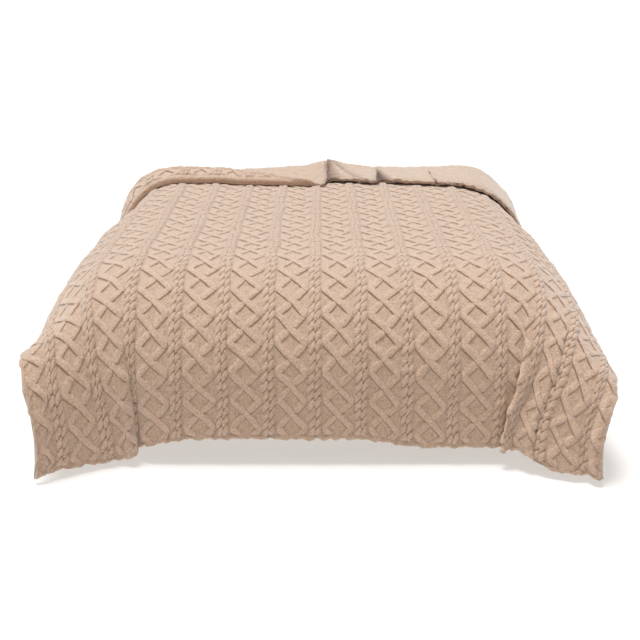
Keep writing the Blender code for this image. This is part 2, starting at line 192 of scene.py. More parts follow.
# Uneven cloth. Seeds and sizes of its waves. Sizes are in pitches.
RUMPLE_WAVES, RUMPLE_SUM = 14, 2.6  # waves added up, and what their sum is divided by
FACE_LUMPS = ((0.6, 6, 0.16), (0.5, 9, 0.1))  # share, seed, size
REVERSE_LUMPS = (8, 0.25)
ROLL_LUMPS = (10, 0.12)
HEIGHT_LUMPS = (5, 0.5)
SWAY_ACROSS, SWAY_ALONG = (3, 0.9), (4, 0.9)
EDGE_LUMPS = (7, 0.24)
SWAY_INSIDE = 0.5       # from the edges, where the pattern strays fully
WANDER_INSIDE = 0.35    # from the edges, where the hems' wandering has died away

# The mesh has as many steps across the lattice as along one diamond, so that its strands follow the
# corners of the mesh. Between two lattices it has these columns, counted from the cable's middle.
STEPS_A_DIAMOND = 13
CABLE_COLUMNS = (-0.15, -0.105, -0.04, 0.04, 0.105, 0.15)
STEPS_PAST_CUFF = 6     # fine rows past the line CUFF
BACK_FOLD = (12.5, 13.4)  # v between which the fold at the back lies
EDGE_LINES = (0, EDGE_ROUND / 2, EDGE_ROUND, 0.065)  # lines of the mesh along each edge
HEM_LINES = (0.10, 0.14, 0.19, 0.235)  # and rows between them and the pattern

# the stage, metres and degrees
FLOOR_HALF = 60
KEY_TOWARDS = (0.15, -0.12, -1)
KEY_SPREAD = 20
CAMERA_ASIDE, CAMERA_BACK, CAMERA_UP = 0.0177, 3.20, 1.006  # from the cloth's foot line, and above the bed
CAMERA_DIP = 21.6
LENS = 50.9             # millimetres


# ---------------------------------------------------------------- the drape

def ease(low, high, x):
    t = np.clip((x - low) / (high - low), 0, 1)
    return t * t * (3 - 2 * t)


def bell(x, place, half):
    return np.exp(-((x - place) / half) ** 2)


def read_table(table, v):
    """The columns of a table at v, on a smooth curve through its rows."""
    rows = np.array(table, float)
    at, values = rows[:, 0], rows[:, 1:]
    step = np.diff(values, axis=0) / np.diff(at)[:, None]
    lean = np.zeros_like(values)
    lean[1:-1] = (step[1:] + step[:-1]) / 2
    lean[0] = step[0]
    v = np.clip(v, at[0], at[-1])
    i = np.clip(np.searchsorted(at, v, side="right") - 1, 0, len(at) - 2)
    span = (at[i + 1] - at[i])[:, None]
    t = (v - at[i])[:, None] / span
    start = (2 * t**3 - 3 * t**2 + 1) * values[i] + (t**3 - 2 * t**2 + t) * span * lean[i]
    end = (3 * t**2 - 2 * t**3) * values[i + 1] + (t**3 - t**2) * span * lean[i + 1]
    return (start + end).T


def read_steps(table, at):
    """The columns of a table, level at each of its rows and eased in between."""
    rows = np.array(table, float)
    i = np.clip(np.searchsorted(rows[:, 0], at, side="right") - 1, 0, len(rows) - 2)
    t = ease(rows[i, 0], rows[i + 1, 0], at)[:, None]
    return (rows[i, 1:] * (1 - t) + rows[i + 1, 1:] * t).T


def side_section(side, w, v):
    """Cloth past the line SIDE_EDGE: across, forward and down from that line. w is the distance from
    the middle cable."""
    full = (LEFT_WIDE if side < 0 else RIGHT_WIDE) - SIDE_EDGE
    across, forward, down, dip, turn = read_table(LEFT_SIDE if side < 0 else RIGHT_SIDE, v)
    for wave_side, place, half, swell in WAVES:
        if wave_side == side:
            across = across + swell * bell(v, place, half)
    dip, turn = np.radians(dip), np.radians(turn)
    t = np.clip(w - SIDE_EDGE, 0, None) / full
    leave = (t**3 - 2 * t**2 + t) * full
    reach = 3 * t**2 - 2 * t**3
    arrive = (t**3 - t**2) * full
    return (leave + reach * across + arrive * np.cos(dip) * np.cos(turn),
            reach * forward + arrive * np.cos(dip) * np.sin(turn),
            reach * down + arrive * np.sin(dip))


def corner_folds(side, w, v):
    """Take-up and forward reach of the upright folds on one side."""
    across, forward = np.zeros_like(w), np.zeros_like(w)
    for fold_side, place, half, taken, depth, low, top in FOLDS:
        if fold_side == side:
            strength = 1 - ease(low, top, v)
            q = (w - place) / half
            across -= strength * taken * (1 + np.tanh(q)) / 2
            forward += strength * depth * q * np.exp((1 - q * q) / 2)
    return across, forward


def front_sag(side, w, v):
    sag = sum(amount * ease(start, end, w) for s, start, end, amount in SAGS if s == side)
    return sag * (1 - ease(0, FRONT_FADE, v))


def tucks(u, v):
    """How deep the turned back end is tucked in, as a share of its height."""
    down = np.clip((v - TUCKED_FROM) / (CLOTH_LONG - TUCKED_FROM), 0, 1)
    deepest = 0 * u
    for at_edge, at_back, wide, lost in TUCKS:
        wide = wide * (TUCK_NARROW + (1 - TUCK_NARROW) * down)
        q = (u - at_back - (at_edge - at_back) * down) / wide
        gentle = 1 - np.clip(q, 0, 1)
        deepest = np.maximum(deepest, lost * ease(-TUCK_STEEP, TUCK_STEEP, q) * gentle)
    return deepest * ease(0, TUCK_STARTS, down)


def cuff_section(u, v):
    """Cloth of the turned back end: way back from the line CUFF, and height."""
    near, roll, flap, crest = read_steps(CUFF_SHAPE, u)
    roll = np.clip(roll, 1e-4, None)
    rise = 2 * crest - EDGE_LIFT
    spare = CLOTH_LONG - CUFF - near - math.pi * (crest + roll) - flap
    reach = (spare * spare - rise * rise) / (2 * spare)
    deep, fall = near + reach, spare - reach
    s = v - CUFF - deep
    over = np.clip(s / crest, 0, math.pi)
    s = s - math.pi * crest
    down = np.clip(s / fall, 0, 1)
    under = np.clip((s - fall) / roll, 0, math.pi)
    back = np.clip(s - fall - math.pi * roll, 0, None)
    way = (np.clip(v - CUFF, 0, deep) + crest * np.sin(over) - reach * down
           - roll * np.sin(under) + back * reach / fall)
    single = ease(*SINGLE_FROM, u)
    stand = (1 - down) * rise + PUFF * single * np.sin(LIFTED * math.pi * down**2)
    stand = stand * (1 - tucks(u, v))
    height = np.where(over < math.pi, crest * (1 - np.cos(over)), EDGE_LIFT + stand)
    return way, height + roll * (1 - np.cos(under)) + back * rise / fall


def foot_section(v):
    """Middle of the cloth over the foot of the bed: y and drop."""
    past = FOOT_EDGE - v
    arc = np.clip(past, 0, FOOT_ROUND * FOOT_TURN) / FOOT_ROUND
    hang = np.clip(past - FOOT_ROUND * FOOT_TURN, 0, None)
    y = -(FOOT_ROUND * np.sin(arc) + hang * math.cos(FOOT_TURN)) + np.clip(-past, 0, None)
    return y, FOOT_ROUND * (1 - np.cos(arc)) + hang * math.sin(FOOT_TURN)


def drape(u, v):
    """Places, in metres, of the smooth reverse face of the cloth at u, v."""
    y, drop = foot_section(v)
    way, height = cuff_section(u, v)
    cuff = v > CUFF
    y = np.where(cuff, CUFF - FOOT_EDGE + way, y)
    height = np.where(cuff, height, 0)
    place = np.where(cuff, FOOT_EDGE + y, v)
    x, z = u.copy(), -drop
    lift_x, lift_z = np.zeros_like(u), np.ones_like(u)
    for side in (-1, 1):
        w = side * u
        out, ahead, down = side_section(side, w, place)
        step = 0.001
        out_next, _, down_next = side_section(side, w + step, place)
        run = np.hypot(out_next - out, down_next - down) + 1e-9
        past = w > SIDE_EDGE
        x = np.where(past, side * (SIDE_EDGE + out), x)
        y = np.where(past, y - ahead, y)
        z = np.where(past, z - down, z)
        lift_x = np.where(past, side * (down_next - down) / run, lift_x)
        lift_z = np.where(past, (out_next - out) / run, lift_z)
        fold_out, fold_ahead = corner_folds(side, w, v)
        x = x + side * fold_out
        y = y - fold_ahead
        z = z - front_sag(side, w, v)
    return ORIGIN + np.stack([x + height * lift_x, y, TOP + z + height * lift_z], -1) * PITCH


def outward(u, v):
    step = 0.004
    across = drape(u + step, v) - drape(u - step, v)
    along = drape(u, v + step) - drape(u, v - step)
    normal = np.cross(across, along)
    return normal / np.linalg.norm(normal, axis=-1, keepdims=True)


# ---------------------------------------------------------------- the raised pattern

def centred(x, period):
    """x counted from the nearest whole number of periods."""
    return x - period * np.floor(x / period + 0.5)


def length(x, y):
    return np.sqrt(x * x + y * y)


def from_strand(a, r, lean, start):
    """Distance from the nearest lattice strand that leans one way. a and r are counted from a crossing,
    and the strand starts that far from it."""
    half = math.hypot(0.5 - CORNER, DIAMOND / 2)
    across, along = lean * (0.5 - CORNER) / half, DIAMOND / 2 / half
    r = r - DIAMOND * np.floor((r * across - a * along) / (DIAMOND * across) + 0.5)
    t = a * across + r * along
    held = np.sign(t) * np.clip(np.abs(t), start, half)
    return length(a - held * across, r - held * along)


def ridge(distance, half, soft):
    """1 on the flat top of a ridge, 0 past its foot. soft is the width of its side."""
    t = np.clip((half + soft / 2 - distance) / soft, 0, 1)
    return t * t * (3 - 2 * t)


def rope(off, v):
    """A cable: two staggered columns of slanting lobes. off is the distance right of its middle."""
    high = 0 * off
    for column in (-1, 1):
        x = (off - column * CABLE_HALF / 2) / (LOBE_HALF * CABLE_HALF)
        y = centred(v - LOBE_SLANT * off + column * LOBE / 4, LOBE) / (LOBE / 2)
        high = np.maximum(high, 1 - x * x - y * y * y * y)
    a = off / CABLE_HALF
    return ROUND_SHARE * np.sqrt(np.clip(1 - a * a, 0, 1)) + (1 - ROUND_SHARE) * np.sqrt(high)


def pattern(u, v, soft):
    """Heights of the cables and of the lattice, each from 0 to 1."""
    a, r = centred(u - 0.5, 1), v - FIRST_DIAMOND - DIAMOND / 2
    over = ridge(from_strand(a, r, -1, 0), STRAND_HALF, soft)
    under = UNDER_HIGH * ridge(from_strand(a, r, 1, UNDER_GAP), STRAND_HALF, soft)
    off = centred(u, 1)
    clear = np.clip((np.abs(off) - CABLE_HALF) / CABLE_CLEAR, 0, 1)
    return rope(off, v), clear * np.maximum(over, under)


def from_edge(u, v):
    """Distance from the nearest cut edge, pitches."""
    return np.minimum(np.minimum(v, CLOTH_LONG - v), np.minimum(u + LEFT_WIDE, RIGHT_WIDE - u))


def rumple(u, v, seed, size):
    """Smooth uneven numbers of about 1, each wave of about that size in pitches."""
    rng = np.random.default_rng(seed)
    total = np.zeros_like(u)
    for _ in range(RUMPLE_WAVES):
        turn, phase = rng.uniform(0, 2 * math.pi, 2)
        long = size * rng.uniform(0.6, 1.6)
        total += np.sin((u * math.cos(turn) + v * math.sin(turn)) * 2 * math.pi / long + phase)
    return total / RUMPLE_SUM


def spread(start, end, steps):
    return [start + (end - start) * k / steps for k in range(steps)]


def cloth_columns():
    lattice = [CORNER + (1 - 2 * CORNER) * k / STEPS_A_DIAMOND for k in range(STEPS_A_DIAMOND + 1)]
    inside = [k + part for k in range(-8, 9) for part in (*CABLE_COLUMNS, *lattice)]
    keep = [u for u in inside if HEM_LINES[0] - LEFT_WIDE < u < RIGHT_WIDE - HEM_LINES[0]]
    left = [e - LEFT_WIDE for e in EDGE_LINES]
    return left + keep + [-u - LEFT_WIDE + RIGHT_WIDE for u in reversed(left)]


def cloth_rows():
    """Rows up to the near edge of the cuff, and rows past it."""
    fine = DIAMOND / STEPS_A_DIAMOND
    seen = CUFF + DIAMOND * STEPS_PAST_CUFF / STEPS_A_DIAMOND
    main = spread(FIRST_DIAMOND, seen, round((seen - FIRST_DIAMOND) / fine))
    fold_from, fold_to = BACK_FOLD
    last = [CLOTH_LONG - e for e in (HEM_LINES[0], *reversed(EDGE_LINES))]
    head = (spread(seen, fold_from, 4) + spread(fold_from, fold_to, 16)
            + spread(fold_to, CLOTH_LONG - HEM_LINES[0], 30) + last)
    return [*EDGE_LINES, *HEM_LINES] + main, head


def add_grid(bm, columns, rows, places):
    """One face of the cloth: a grid whose corners are moved to those places."""
    start = len(bm.verts)
    bmesh.ops.create_grid(bm, x_segments=len(columns) - 1, y_segments=len(rows) - 1, size=0.5)
    bm.verts.ensure_lookup_table()
    for corner, place in zip(bm.verts[start:], places):
        corner.co = place


def hem_height(u, v, look):
    edge = from_edge(u, v)
    band = np.clip(edge / HEM_BAND, 0, 1)
    seam = SEAM_DEEP * bell(edge, HEM_BAND + SEAM_OFF, SEAM_HALF)
    return look.hem_high * np.sqrt(4 * band * (1 - band)) - seam


def face_sheet(u, v, look):
    """Thickness of the cloth at its patterned face, and how much of the pattern shows there."""
    cable, lattice = pattern(u, v, MESH_SOFT)
    edge = from_edge(u, v)
    shown = ease(HEM_BAND + HEM_FADE[0], HEM_BAND + HEM_FADE[1], edge)
    near, roll, flap, _ = read_steps(CUFF_SHAPE, u)
    covered = ease(-PRESSED, PRESSED, v - CUFF - near)
    on_top = ease(*TOP_FROM, roll) * ease(0, TOP_STARTS, v - CLOTH_LONG + flap)
    shown = shown * (1 - covered * (1 - on_top))
    uneven = 1 + look.uneven * rumple(u, v, *HEIGHT_LUMPS)
    high = shown * uneven * (look.cable_high * cable + look.lattice_high * lattice)
    lumps = sum(share * rumple(u, v, seed, size) for share, seed, size in FACE_LUMPS)
    high += hem_height(u, v, look) + look.fluff * lumps
    rounded = np.sqrt(1 - (1 - np.clip(edge / EDGE_ROUND, 0, 1)) ** 2)
    return look.thick * (0.5 + 0.5 * rounded) + high * np.clip(rounded, 0.3, 1), shown


def reverse_sheet(u, v, look):
    """How far the smooth reverse face stands out, past the near edge of the cuff."""
    hem = bell(from_edge(u, v), ROLL_PLACE, ROLL_HALF)
    lumps = rumple(u, v, *REVERSE_LUMPS) + (1 + 2 * hem) * rumple(u, v, *ROLL_LUMPS)
    nap = (1 + hem) * hem_height(u, v, look) + look.fluff * lumps
    return nap * ease(CUFF + REVERSE_FROM[0], CUFF + REVERSE_FROM[1], v)


def strayed(u, v, look):
    """u and v, moved a little: the pattern sways, and the hems wander in and out."""
    inside = ease(0, SWAY_INSIDE, from_edge(u, v))
    near = 1 - ease(0, WANDER_INSIDE, from_edge(u, v))
    wander = near * (look.edge_wander / PITCH) * rumple(u, v, *EDGE_LUMPS)
    ends = np.minimum(v, CLOTH_LONG - v) < np.minimum(u + LEFT_WIDE, RIGHT_WIDE - u)
    return (u + look.sway / PITCH * inside * rumple(u, v, *SWAY_ACROSS)
            + np.where(ends, 0, np.where(u > 0, 1, -1) * wander),
            v + look.sway / PITCH * inside * rumple(u, v, *SWAY_ALONG)
            + np.where(ends, np.where(v > CLOTH_LONG / 2, 1, -1) * wander, 0))


def close_rim(bm, u, v):
    """Joins the open edges of the two faces, one side of the cloth at a time."""
    bm.verts.index_update()
    sides = (
        lambda c: u[c.index] == -LEFT_WIDE and v[c.index] <= CUFF,
        lambda c: u[c.index] == -LEFT_WIDE and v[c.index] >= CUFF,
        lambda c: u[c.index] == RIGHT_WIDE and v[c.index] <= CUFF,
        lambda c: u[c.index] == RIGHT_WIDE and v[c.index] >= CUFF,
        lambda c: v[c.index] == 0,
        lambda c: v[c.index] == CLOTH_LONG,
    )
    open_edges = [e for e in bm.edges if e.is_boundary]
    for keep in sides:
        bmesh.ops.bridge_loops(bm, edges=[e for e in open_edges if keep(e.verts[0]) and keep(e.verts[1])])


def finish_mesh(name, bm):
    mesh = bpy.data.meshes.new(name)
    bm.to_mesh(mesh)
    bm.free()
    mesh.shade_smooth()
    piece = bpy.data.objects.new(name, mesh)
    bpy.context.scene.collection.objects.link(piece)
    return piece


def set_uv(mesh, u, v):
    """The piece's own map holds u and v, in metres along the cloth."""
    corners = np.zeros(len(mesh.loops), int)
    mesh.loops.foreach_get("vertex_index", corners)
    layer = mesh.uv_layers.new(name="cloth")
    layer.data.foreach_set("uv", (np.stack([u[corners], v[corners]], -1) * PITCH).ravel())


def set_attribute(mesh, name, values):
    mesh.attributes.new(name, "FLOAT", "POINT").data.foreach_set("value", values)


def remeshed(name, size):
    """Even faces over a copy of a soft solid."""
    bm = bmesh.new()
    bm.from_mesh(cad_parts[name].data)
    bmesh.ops.remove_doubles(bm, verts=bm.verts, dist=1e-5)
    rough = finish_mesh(name + "_rough", bm)
    even = rough.modifiers.new("even", "REMESH")
    even.mode = "VOXEL"
    even.voxel_size = size
    bpy.context.view_layer.update()
    bm = bmesh.new()
    bm.from_object(rough, bpy.context.evaluated_depsgraph_get())
    bpy.data.objects.remove(rough)
    return bm


def over_cover(x, low, high, soft):
    """Distance from the middle, measured along the cover and over its rounded edges."""
    off = x - (low + high) / 2
    flat = (high - low) / 2 - soft
    past = np.clip((np.abs(off) - flat) / soft, 0, 1)
    return np.copysign(np.minimum(np.abs(off), flat) + soft * np.arcsin(past), off)


def quilt(bm, look):
    """Presses the sewn channels into the mattress cover, and leaves it full between them."""
    places = np.array([vertex.co for vertex in bm.verts])
    normals = np.array([vertex.normal for vertex in bm.verts])
    low, high = MATTRESS_LOW, MATTRESS_HIGH
    across = over_cover(places[:, 0], low.x, high.x, MATTRESS_SOFT)
    along = over_cover(places[:, 1], low.y, high.y, MATTRESS_SOFT)
    one_way = np.sin(np.pi * (across + along) / look.quilt)
    other_way = np.sin(np.pi * (across - along) / look.quilt)
    border = ease(*QUILT_FROM, places[:, 2] - low.z - look.piping_up)
    full = np.abs(one_way * other_way) ** QUILT_ROUND
    dent = look.quilt_deep * (1 - full) * border + FOLD_ROOM
    for vertex, place, normal, deep in zip(bm.verts, places, normals, dent):
        vertex.co = place - normal * deep


def add_piping(bm, outline, high, radius):
    """A sewn cord around the mattress at one height. outline is a copy of the mattress to cut there."""
    bmesh.ops.bisect_plane(outline, geom=outline.verts[:] + outline.edges[:] + outline.faces[:],
                           plane_co=(0, 0, high), plane_no=(0, 0, 1), clear_inner=True, clear_outer=True)
    middle = (MATTRESS_LOW + MATTRESS_HIGH) / 2
    path = np.array([vertex.co[:2] for vertex in outline.verts]) - middle[:2]
    path = path[np.argsort(np.arctan2(path[:, 1], path[:, 0]))]
    out = path / length(path[:, 0], path[:, 1])[:, None]
    turns = np.linspace(0, 2 * np.pi, PIPING_SIDES, endpoint=False)
    rings = []
    for spot, away in zip(path, out):
        flat = [spot + away * radius * np.cos(turn) + middle[:2] for turn in turns]
        rings.append([bm.verts.new((*xy, high + radius * np.sin(turn))) for xy, turn in zip(flat, turns)])
    for ring, following in zip(rings, rings[1:] + rings[:1]):
        for k in range(PIPING_SIDES):
            after = (k + 1) % PIPING_SIDES
            bm.faces.new((ring[k], following[k], following[after], ring[after]))


def build_blanket(look):
    """The sheet: its patterned face, its coarser reverse, and the rim between them."""
    columns, (main, head) = cloth_columns(), cloth_rows()
    rows = main + head
    back_columns, back_rows = columns[:-1:2] + columns[-1:], main[::10] + head
    u, v = (g.ravel() for g in np.meshgrid(columns, rows))
    back_u, back_v = (g.ravel() for g in np.meshgrid(back_columns, back_rows))
    bm = bmesh.new()
    thick, shown = face_sheet(u, v, look)
    places = strayed(u, v, look)
    add_grid(bm, columns, rows, drape(*places) + outward(*places) * thick[:, None])
    bmesh.ops.triangulate(bm, faces=bm.faces[:], quad_method="SHORT_EDGE")
    face = set(bm.faces)
    places = strayed(back_u, back_v, look)
    nap = reverse_sheet(back_u, back_v, look)
    add_grid(bm, back_columns, back_rows, drape(*places) - outward(*places) * nap[:, None])
    reverse = [f for f in bm.faces if f not in face]
    bmesh.ops.reverse_faces(bm, faces=reverse)
    for f in reverse:
        f.material_index = 1
    all_u, all_v = np.concatenate([u, back_u]), np.concatenate([v, back_v])
    close_rim(bm, all_u, all_v)
    piece = finish_mesh("blanket_sheet", bm)
    set_uv(piece.data, all_u, all_v)
    set_attribute(piece.data, "shown", np.concatenate([shown, 0 * back_u]))
    return piece


# ---------------------------------------------------------------- materials

def node(tree, kind, x, y, **inputs):
    made = tree.nodes.new(kind)
    made.location = (x, y)
    for name, value in inputs.items():
        made.inputs[name.replace("_", " ")].default_value = value
    return made


def new_group(name, inputs, outputs):
    tree = bpy.data.node_groups.new(name, "ShaderNodeTree")
    for label, kind, value in inputs:
        tree.interface.new_socket(label, in_out="INPUT", socket_type=kind).default_value = value
    for label, kind in outputs:
        tree.interface.new_socket(label, in_out="OUTPUT", socket_type=kind)
    start = node(tree, "NodeGroupInput", -900, 0)
    end = node(tree, "NodeGroupOutput", 700, 0)
    return tree, start, end


MATHS = {np.add: "ADD", np.subtract: "SUBTRACT", np.multiply: "MULTIPLY", np.true_divide: "DIVIDE",
         np.minimum: "MINIMUM", np.maximum: "MAXIMUM", np.sqrt: "SQRT", np.floor: "FLOOR",
         np.absolute: "ABSOLUTE", np.sign: "SIGN"}


class Wire(np.lib.mixins.NDArrayOperatorsMixin):
    """A number that Math nodes work out over the surface. numpy's functions on it make those nodes, so
    that the raised pattern is written once, for the mesh and for the material."""

    def __init__(self, tree, socket):
        self.tree, self.socket = tree, socket

    def __array_ufunc__(self, function, method, *values):
        made = self.tree.nodes.new("ShaderNodeMath")
        made.operation = MATHS[function]
        for value, socket in zip(values, made.inputs):
            if isinstance(value, Wire):
                self.tree.links.new(value.socket, socket)
            else:
                socket.default_value = value
        return Wire(self.tree, made.outputs[0])

    def clip(self, low, high, out=None):
        return np.minimum(np.maximum(self, low), high)


def cloth_wires(tree):
    """u and v at each place of the cloth."""
    place = node(tree, "ShaderNodeUVMap", -1500, 0)
    place.uv_map = "cloth"
    split = node(tree, "ShaderNodeSeparateXYZ", -1300, 0)
    tree.links.new(place.outputs["UV"], split.inputs[0])
    return Wire(tree, split.outputs["X"]) / PITCH, Wire(tree, split.outputs["Y"]) / PITCH


def relief_group():
    """The raised pattern in full detail, and painted shade in the creases below all that is raised and
    between the lobes of each cable.
    """
    outputs = (("Height", "NodeSocketFloat"), ("Crease shade", "NodeSocketFloat"))
    tree, _, end = new_group("cable relief", (), outputs)
    part = node(tree, "ShaderNodeAttribute", -1500, -200)
    part.attribute_name = "shown"
    shown = Wire(tree, part.outputs["Fac"])
    u, v = cloth_wires(tree)
    cable, lattice = pattern(u, v, SHADE_SOFT)
    high = np.maximum(cable, lattice)
    # Painted shade: where the pattern is higher a little further up the cloth, the creases below raised
    # edges are darkened.
    above = np.maximum(*pattern(u, v + CREASE_DOWN, SHADE_SOFT))
    tree.links.new((shown * high).socket, end.inputs["Height"])
    # Painted shade between the lobes of each cable, ending at its sides.
    inside = np.clip((CABLE_HALF - np.abs(centred(u, 1))) * CABLE_SHARP, 0, 1)
    between = inside * np.clip((BETWEEN_LOBES - cable) * BETWEEN_SHARP, 0, 1)
    crease_shade = np.maximum(between, np.clip((above - high) * CREASE_DEPTH, 0, 1))
    tree.links.new((shown * crease_shade).socket, end.inputs["Crease shade"])
    return tree


def pile_group():
    """Plush pile: clumps of fibres and single fibres, as a height and as a lighter and darker pile colour.
    """
    tree, start, end = new_group(
        "plush pile",
        (("Colour", "NodeSocketColor", (0.5, 0.4, 0.3, 1)), ("Contrast", "NodeSocketFloat", 0.2),
         ("Clumps", "NodeSocketFloat", 150.0), ("Fibres", "NodeSocketFloat", 420.0)),
        (("Colour", "NodeSocketColor"), ("Height", "NodeSocketFloat")))
    place = node(tree, "ShaderNodeTexCoord", -900, -300)
    clumps = node(tree, "ShaderNodeTexNoise", -600, 100, Detail=3.0, Roughness=0.6)
    fibres = node(tree, "ShaderNodeTexNoise", -600, -200, Detail=2.0, Roughness=0.7)
    for noise, size in ((clumps, "Clumps"), (fibres, "Fibres")):
        tree.links.new(place.outputs["Object"], noise.inputs["Vector"])
        tree.links.new(start.outputs[size], noise.inputs["Scale"])
    height = node(tree, "ShaderNodeMix", -300, 0)
    height.inputs["Factor"].default_value = 0.45
    tree.links.new(clumps.outputs["Fac"], height.inputs["A"])
    tree.links.new(fibres.outputs["Fac"], height.inputs["B"])
    tree.links.new(height.outputs["Result"], end.inputs["Height"])
    centred = node(tree, "ShaderNodeMath", -100, 100)
    centred.operation = "SUBTRACT"
    centred.inputs[1].default_value = 0.5
    tree.links.new(height.outputs["Result"], centred.inputs[0])
    scaled = node(tree, "ShaderNodeMath", 100, 100)
    scaled.operation = "MULTIPLY_ADD"
    scaled.inputs[2].default_value = 1.0
    tree.links.new(centred.outputs[0], scaled.inputs[0])
    tree.links.new(start.outputs["Contrast"], scaled.inputs[1])
    tinted = node(tree, "ShaderNodeVectorMath", 300, 100)
    tinted.operation = "SCALE"
    tree.links.new(start.outputs["Colour"], tinted.inputs[0])
    tree.links.new(scaled.outputs[0], tinted.inputs["Scale"])
    tree.links.new(tinted.outputs[0], end.inputs["Colour"])
    return tree


def blend(tree, x, y, factor, first, second):
    """Mixes two colours by a value socket. Each colour is a socket or three numbers."""
    mixed = node(tree, "ShaderNodeMix", x, y)
    mixed.data_type = "RGBA"
    tree.links.new(factor, mixed.inputs["Factor"])
    for socket, colour in ((mixed.inputs[6], first), (mixed.inputs[7], second)):
        if isinstance(colour, bpy.types.NodeSocket):
            tree.links.new(colour, socket)
        else:
            socket.default_value = (*colour, 1)
    return mixed.outputs[2]


def plush(name, pile, look):
    """Plush cloth with painted sheen where it is seen at a glance, and the node that gives its pile a
    colour.
    """
    surface = bpy.data.materials.new(name)
    surface.use_nodes = True
    tree = surface.node_tree
    shader = tree.nodes["Principled BSDF"]
    shader.inputs["Roughness"].default_value = 0.95
    shader.inputs["Specular IOR Level"].default_value = 0.15
    shader.inputs["Sheen Weight"].default_value = look.sheen
    shader.inputs["Sheen Roughness"].default_value = 0.55
    tufts = node(tree, "ShaderNodeGroup", -500, 100)
    tufts.node_tree = pile
    tufts.inputs["Contrast"].default_value = look.tufts
    # Painted sheen: Layer Weight's Facing mixes the pile colour towards a paler colour where the surface
    # is seen at a glance.
    glance = node(tree, "ShaderNodeLayerWeight", -700, 400, Blend=0.5)
    share = node(tree, "ShaderNodeMath", -500, 400)
    share.operation = "MULTIPLY"
    share.inputs[1].default_value = look.painted_sheen_share
    tree.links.new(glance.outputs["Facing"], share.inputs[0])
    colour = blend(tree, -250, 200, share.outputs[0], tufts.outputs["Colour"], look.painted_sheen_colour)
    tree.links.new(colour, shader.inputs["Base Color"])
    bump = node(tree, "ShaderNodeBump", -250, -200, Strength=0.9, Distance=0.005)
    tree.links.new(tufts.outputs["Height"], bump.inputs["Height"])
    tree.links.new(bump.outputs["Normal"], shader.inputs["Normal"])
    return surface, tufts, bump


def tuck_group():
    """How much painted shade lies in the tucks of the turned back end, over its surface."""
    tree, _, end = new_group("tucks", (), (("Depth", "NodeSocketFloat"),))
    dark = np.minimum(TUCK_DARK * tucks(*cloth_wires(tree)), 1)
    tree.links.new(dark.socket, end.inputs["Depth"])
    return tree


def plush_reverse(pile, look):
    """The smooth reverse face, with painted shade in its tucks."""
    surface, tufts, _ = plush("plush_reverse", pile, look)
    tufts.inputs["Colour"].default_value = (*look.reverse, 1)
    tree = surface.node_tree
    depth = node(tree, "ShaderNodeGroup", -500, 600)
    depth.node_tree = shared("tucks", tuck_group)
    paint = tree.nodes["Principled BSDF"].inputs["Base Color"]
    # Painted shade: the reverse colour is mixed towards a dark brown by the depth of the tucks.
    colour = blend(tree, -100, 400, depth.outputs["Depth"], paint.links[0].from_socket, look.shade)
    tree.links.new(colour, paint)
    return surface


def plush_face(pile, relief, look):
    """The patterned face: painted shade darkens the ground between its raised parts and its creases, and
    its finest relief is in the shading.
    """
    surface, tufts, bump = plush("plush_face", pile, look)
    tree = surface.node_tree
    cables = node(tree, "ShaderNodeGroup", -1300, 100)
    cables.node_tree = relief
    # Painted shade: a darker colour on the ground between what is raised, and a darker one still in the
    # creases and between cable lobes.
    raised = blend(tree, -1000, 100, cables.outputs["Height"], look.hollow_shade, look.colour)
    creased = blend(tree, -750, 100, cables.outputs["Crease shade"], raised, look.crease_shade)
    tree.links.new(creased, tufts.inputs["Colour"])
    ridges = node(tree, "ShaderNodeBump", -750, -200, Strength=1.0, Distance=look.detail)
    tree.links.new(cables.outputs["Height"], ridges.inputs["Height"])
    tree.links.new(ridges.outputs["Normal"], bump.inputs["Normal"])
    return surface


def weave_group():
    """Plain weave: warp and weft threads over and under, as a height."""
    tree, start, end = new_group(
        "plain weave",
        (("Threads", "NodeSocketFloat", 900.0),),
        (("Height", "NodeSocketFloat"),))
    place = node(tree, "ShaderNodeTexCoord", -900, -300)
    waves = []
    for direction in ("X", "Y", "Z"):
        wave = node(tree, "ShaderNodeTexWave", -600, 200 - 200 * len(waves), Distortion=0.6)
        wave.bands_direction = direction
        tree.links.new(place.outputs["Object"], wave.inputs["Vector"])
        tree.links.new(start.outputs["Threads"], wave.inputs["Scale"])
        waves.append(wave)
    both = node(tree, "ShaderNodeMath", -300, 100)
    both.operation = "ADD"
    tree.links.new(waves[0].outputs["Fac"], both.inputs[0])
    tree.links.new(waves[1].outputs["Fac"], both.inputs[1])
    every = node(tree, "ShaderNodeMath", -100, 0)
    every.operation = "ADD"
    tree.links.new(both.outputs[0], every.inputs[0])
    tree.links.new(waves[2].outputs["Fac"], every.inputs[1])
    tree.links.new(every.outputs[0], end.inputs["Height"])
    return tree


def woven(name, weave, pile, colour, threads):
    """Woven cover cloth with slightly uneven yarn."""
    surface = bpy.data.materials.new(name)
    surface.use_nodes = True
    tree = surface.node_tree
    shader = tree.nodes["Principled BSDF"]
    shader.inputs["Roughness"].default_value = 0.85
    shader.inputs["Sheen Weight"].default_value = 0.1
    cloth = node(tree, "ShaderNodeGroup", -500, -200)
    cloth.node_tree = weave
    cloth.inputs["Threads"].default_value = threads
    slubs = node(tree, "ShaderNodeGroup", -500, 100)
    slubs.node_tree = pile
    slubs.inputs["Colour"].default_value = (*colour, 1)
    slubs.inputs["Contrast"].default_value = 0.25
    slubs.inputs["Clumps"].default_value = 60
    tree.links.new(slubs.outputs["Colour"], shader.inputs["Base Color"])
    bump = node(tree, "ShaderNodeBump", -250, -200, Strength=0.4, Distance=0.001)
    tree.links.new(cloth.outputs["Height"], bump.inputs["Height"])
    tree.links.new(bump.outputs["Normal"], shader.inputs["Normal"])
    return surface


# ---------------------------------------------------------------- settings

